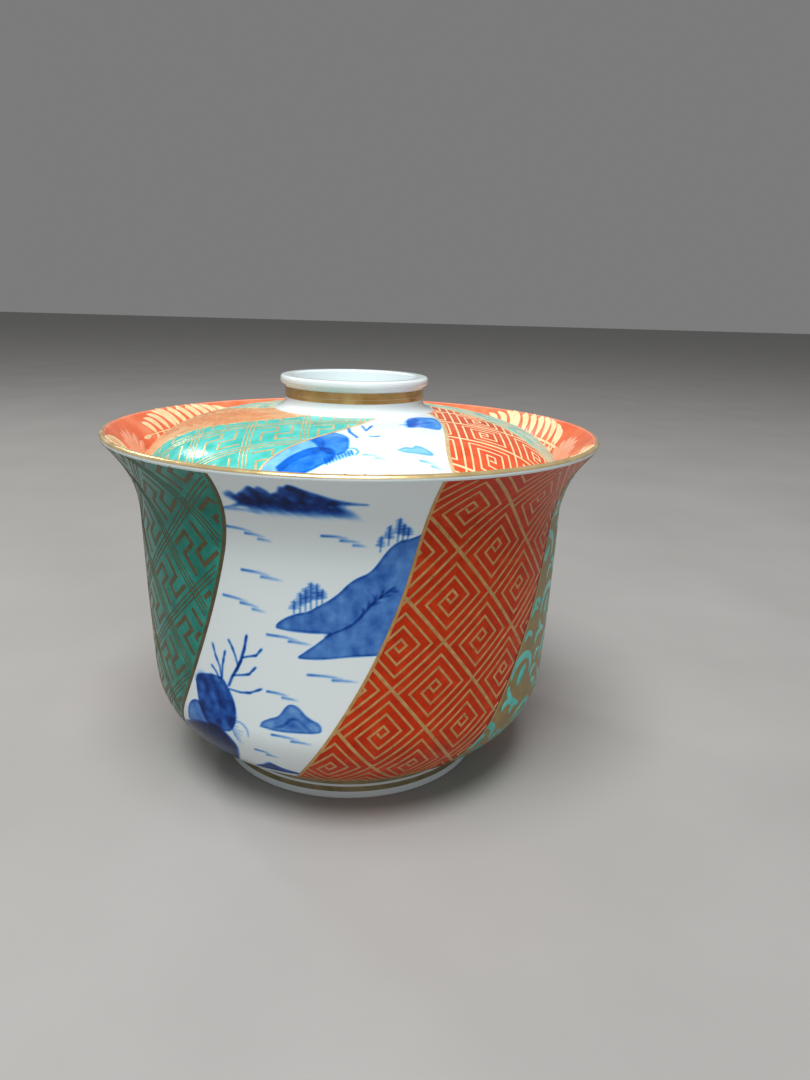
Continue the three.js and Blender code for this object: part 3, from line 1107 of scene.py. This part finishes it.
RIPPLES = [(-23.4, 73.2, 5.2, 3), (-5.4, 73.1, 4.6, 3), (-21, 64.8, 5.6, 2), (-25.5, 58.9, 5.4, 3),
    (-16.2, 52.3, 6, 2), (-8.3, 44.7, 6.6, 2), (-16.7, 40, 4.4, 2), (-16.2, 30.3, 5.8, 2),
    (-20.7, 25.3, 3.6, 2)]


def paint_mountain(sheet):
    """A dark crisp ridge whose foot thins out in slanting brush strokes."""
    sheet.wash(RIDGE + RIDGE_FOOT, 0.76, edge=0.03, mottle=0.14, soft=0.35)
    for i in range(26):
        x, top = -21.0 + 0.72 * i, 80.8 - 0.05 * i + 0.6 * math.sin(1.9 * i)
        foot = 77.0 + 0.5 * math.sin(2.7 * i)
        path = [(x, top), (x + 2.4, 0.5 * (top + foot)), (x + 4.6, foot)]
        sheet.stroke(path, 1.3, 0.62, (0.9, 0.2), 0.5, fade=0.85)
    for x, y, run, drop in RIDGE_SHADES:
        path = [(x, y), (x + run * 0.45, y - drop * 0.62), (x + run, y - drop)]
        sheet.stroke(path, 1.3, 0.65, (0.9, 0.3), 0.4, fade=0.6)
    sheet.stroke([(-22.9, 77.2), (-19.5, 77.5), (-16.0, 77.1)], 0.6, 0.5, (0.5, 0.3), 0.35, fade=0.5)


def paint_rock(sheet):
    """A rock with bare trees behind it, a paler boulder at its side and grass at its foot."""
    bare_branches(sheet, BRANCHES)
    sheet.wash(ROCK, 0.72, edge=0.10, mottle=0.16, soft=0.2)
    for path, width in ROCK_SHADES:
        sheet.stroke(path, width, 0.45, (0.6, 0.4), 0.8)
    sheet.wash(ROCK_SIDE, 0.56, edge=0.25, mottle=0.1)
    sheet.wash(ROCK_FOOT, 1.0, edge=0.0, mottle=0.05, soft=0.4)
    sheet.stroke([(-24.9, 31.7), (-23.2, 31.4), (-21.9, 30.2), (-21.7, 28.5)], 0.35, 0.55, (0.6, 0.5), 0.2)
    for i in range(8):
        turn = math.radians(-62 + 14 * i)
        reach = 2.6 + 0.5 * math.sin(2.1 * i)
        foot = np.array([-25.3 - 0.15 * i, 28.0 + 0.4 * i])
        tip = foot + reach * np.array([math.cos(turn), math.sin(turn)])
        sheet.line([foot, tip], 0.32, 0.5, (0.9, 0.3), 0.18, fade=0.4)


def paint_wall_landscape(sheet):
    """A lake with far mountains, wooded hills, an island and a rock with bare trees."""
    paint_mountain(sheet)
    for ripple in RIPPLES:
        ripples(sheet, *ripple)
    for x, y, height in PINES:
        pine(sheet, x, y, height)
    sheet.wash(HILLS, 0.57, edge=0.20)
    sheet.stroke(SPUR, 0.42, 0.6, (0.6, 0.9), 0.22)
    for x, y, run, rise in TWIGS:
        sheet.line([(x, y), (x + run, y + rise)], 0.42, 0.5, (0.9, 0.5), 0.22)
    sheet.wash(ISLAND, 0.48, edge=0.25)
    sheet.stroke(ISLAND_RIDGE, 0.6, 0.5, (0.3, 0.5), 0.3)
    sheet.stroke([(-13.0, 32.6), (-11.4, 33.2), (-9.8, 32.4)], 1.4, 0.3, (0.4, 0.4), 0.5)
    paint_rock(sheet)
    sheet.wash(NEAR_SHORE, 0.82, edge=0.05, soft=0.4)


LID_ROCK = [(-9.2, -31.2), (-5.8, -28.6), (-3.4, -28.8), (-1.4, -30.8), (-0.9, -33.6), (-1.3, -37),
    (-3.4, -38.6), (-6.2, -37), (-7.4, -34)]
LID_ROCK_FOOT = [(-14.4, -40.4), (-11, -37.4), (-7.4, -35.6), (-4, -36.6), (-3.8, -39.8),
    (-6.4, -41.6), (-8.6, -42.6), (-12.6, -43.4)]
LID_ROCK_SIDE = [(-20.5, -40.6), (-15.5, -37.8), (-11.5, -33.4), (-9, -30.9), (-6.4, -31.6),
    (-5.6, -34.6), (-6.6, -37.4), (-10.6, -39.4), (-13.4, -41.6), (-16, -43.6)]
LID_CLUMP = [(11.2, -23), (11.2, -17.2), (13, -14.5), (15.5, -13.3), (17.4, -13), (18.4, -18),
    (17.6, -22.6), (14.2, -22.4)]
LID_ISLAND = [(8.2, -36), (9.8, -34.6), (11.3, -34.4), (12, -33.4), (13.6, -34), (15.2, -35.6),
    (14.8, -36.5), (12, -36.6), (9.5, -36.6)]
LID_BRANCHES = [
    [(-1.2, -25.5), (-0.8, -28.4), (0.6, -31.2)],
    [(1.6, -24), (2.4, -27.3), (3.6, -23.8)],
    [(3, -30.3), (4, -30.5), (5, -30)],
]


def paint_dome_landscape(sheet):
    """Rocks, an island and a far shore on the lid."""
    sheet.wash(LID_ROCK, 0.58, edge=0.10, soft=0.2)
    sheet.wash(LID_ROCK_FOOT, 0.62, edge=0.12, soft=0.2)
    sheet.wash(LID_ROCK_SIDE, 0.36, edge=0.18, soft=0.2)
    for i in range(9):
        foot = np.array([-5.4 + 0.6 * i, -39.6 + 0.32 * i])
        sheet.line([foot, foot + (0.5, -1.7)], 0.42, 0.75, (0.9, 0.4), 0.18)
    sheet.stroke([(-1.0, -36.2), (0.1, -36.3), (0.8, -37.4), (0.4, -38.6)], 0.4, 0.6, (0.6, 0.5), 0.2)
    bare_branches(sheet, LID_BRANCHES, 0.4, 0.8)
    sheet.wash(LID_CLUMP, 0.50, edge=0.15, soft=0.2)
    sheet.stroke([(11.6, -22.4), (12.0, -19.0), (13.2, -16.0)], 2.4, 0.5, (0.8, 0.5), 0.5)
    sheet.stroke([(9.4, -21.8), (12.0, -21.0), (14.5, -19.0), (16.6, -17.0)], 0.55, 0.55, (0.4, 0.5), 0.25)
    sheet.wash(LID_ISLAND, 0.30, edge=0.2)
    ripples(sheet, 1.8, -38.4, 3.2, 2, 0.4)
    ripples(sheet, 12.6, -38.6, 3.0, 2, 0.5)


PAINTING_PITCH = 0.26  # mm between the mesh points that hold the pigment


def landscape(name, ware, k, paint, material):
    piece, angle, s = skin(name, ware, k, material, PAINTING_PITCH, PAINTING_LIFT)
    sheet = Painting(ware.from_surface(angle, s, k))
    paint(sheet)
    pigment = np.concatenate([sheet.pigment, np.zeros(len(sheet.pigment))]).astype(np.float32)
    attribute = piece.data.attributes.new("pigment", "FLOAT", "POINT")
    attribute.data.foreach_set("value", pigment)


for k, side in ((0, "front"), (4, "back")):
    landscape(f"bowl_landscape_{side}", wall, k, paint_wall_landscape, deep_blue)
    landscape(f"lid_landscape_{side}", lid, k, paint_dome_landscape, lit_azure_blue)


# ---- camera, floor and light

CAMERA_PLACE = (0.0, -189.33, 107.35)
CAMERA_YAW, CAMERA_PITCH, CAMERA_ROLL = 3.831, 16.449, 1.686
FIELD_OF_VIEW = 67.32
FLOOR_HALF = 4
LIGHT_TARGET = (0, 0, 0.05)
WORLD_COLOUR = (0.80, 0.80, 0.80, 1)
WORLD_STRENGTH = 0.25


def add_camera():
    yaw, pitch, roll = [math.radians(a) for a in (CAMERA_YAW, CAMERA_PITCH, CAMERA_ROLL)]
    forward = Vector((math.sin(yaw) * math.cos(pitch), math.cos(yaw) * math.cos(pitch), -math.sin(pitch)))
    level = Vector((math.cos(yaw), -math.sin(yaw), 0))
    upright = level.cross(forward)
    right = math.cos(roll) * level + math.sin(roll) * upright
    up = math.cos(roll) * upright - math.sin(roll) * level
    data = bpy.data.cameras.new("camera")
    data.sensor_fit = "VERTICAL"
    data.angle_y = math.radians(FIELD_OF_VIEW)
    data.clip_start = 0.01
    camera = bpy.data.objects.new("camera", data)
    turn = Matrix((right, up, -forward)).transposed().to_4x4()
    camera.matrix_world = Matrix.Translation(Vector(CAMERA_PLACE) * MM) @ turn
    bpy.context.scene.collection.objects.link(camera)
    bpy.context.scene.camera = camera


def add_light(name, place, size, power, colour=(1, 1, 1)):
    data = bpy.data.lights.new(name, "AREA")
    data.shape = "DISK"
    data.size = size
    data.energy = power
    data.color = colour
    light = bpy.data.objects.new(name, data)
    light.location = place
    light.rotation_euler = (Vector(LIGHT_TARGET) - Vector(place)).to_track_quat("-Z", "Y").to_euler()
    bpy.context.scene.collection.objects.link(light)


def add_floor():
    mesh = bpy.data.meshes.new("floor")
    corners = [(x * FLOOR_HALF, y * FLOOR_HALF, 0) for x, y in ((-1, -1), (1, -1), (1, 1), (-1, 1))]
    mesh.from_pydata(corners, [], [(0, 1, 2, 3)])
    floor = bpy.data.objects.new("floor", mesh)
    greys = blend((0.32, 0.313, 0.303), (0.35, 0.343, 0.333))
    mesh.materials.append(mixed_material("pale_floor", greys, 60, 0.6))
    bpy.context.scene.collection.objects.link(floor)


def add_world():
    world = bpy.data.worlds.new("studio")
    world.use_nodes = True
    background = world.node_tree.nodes["Background"]
    background.inputs["Color"].default_value = WORLD_COLOUR
    background.inputs["Strength"].default_value = WORLD_STRENGTH
    bpy.context.scene.world = world


add_camera()
add_floor()
add_light("key_softbox", (-0.10, -0.40, 1.10), 0.70, 17.0)
add_light("back_left_glint", (-0.444, 0.435, 0.498), 0.11, 0.75, (1.0, 0.97, 0.92))
add_light("front_fill", (0.10, -0.70, 0.50), 0.70, 0.9, (0.94, 0.97, 1.0))
add_world()
bpy.context.scene.view_settings.view_transform = "Standard"
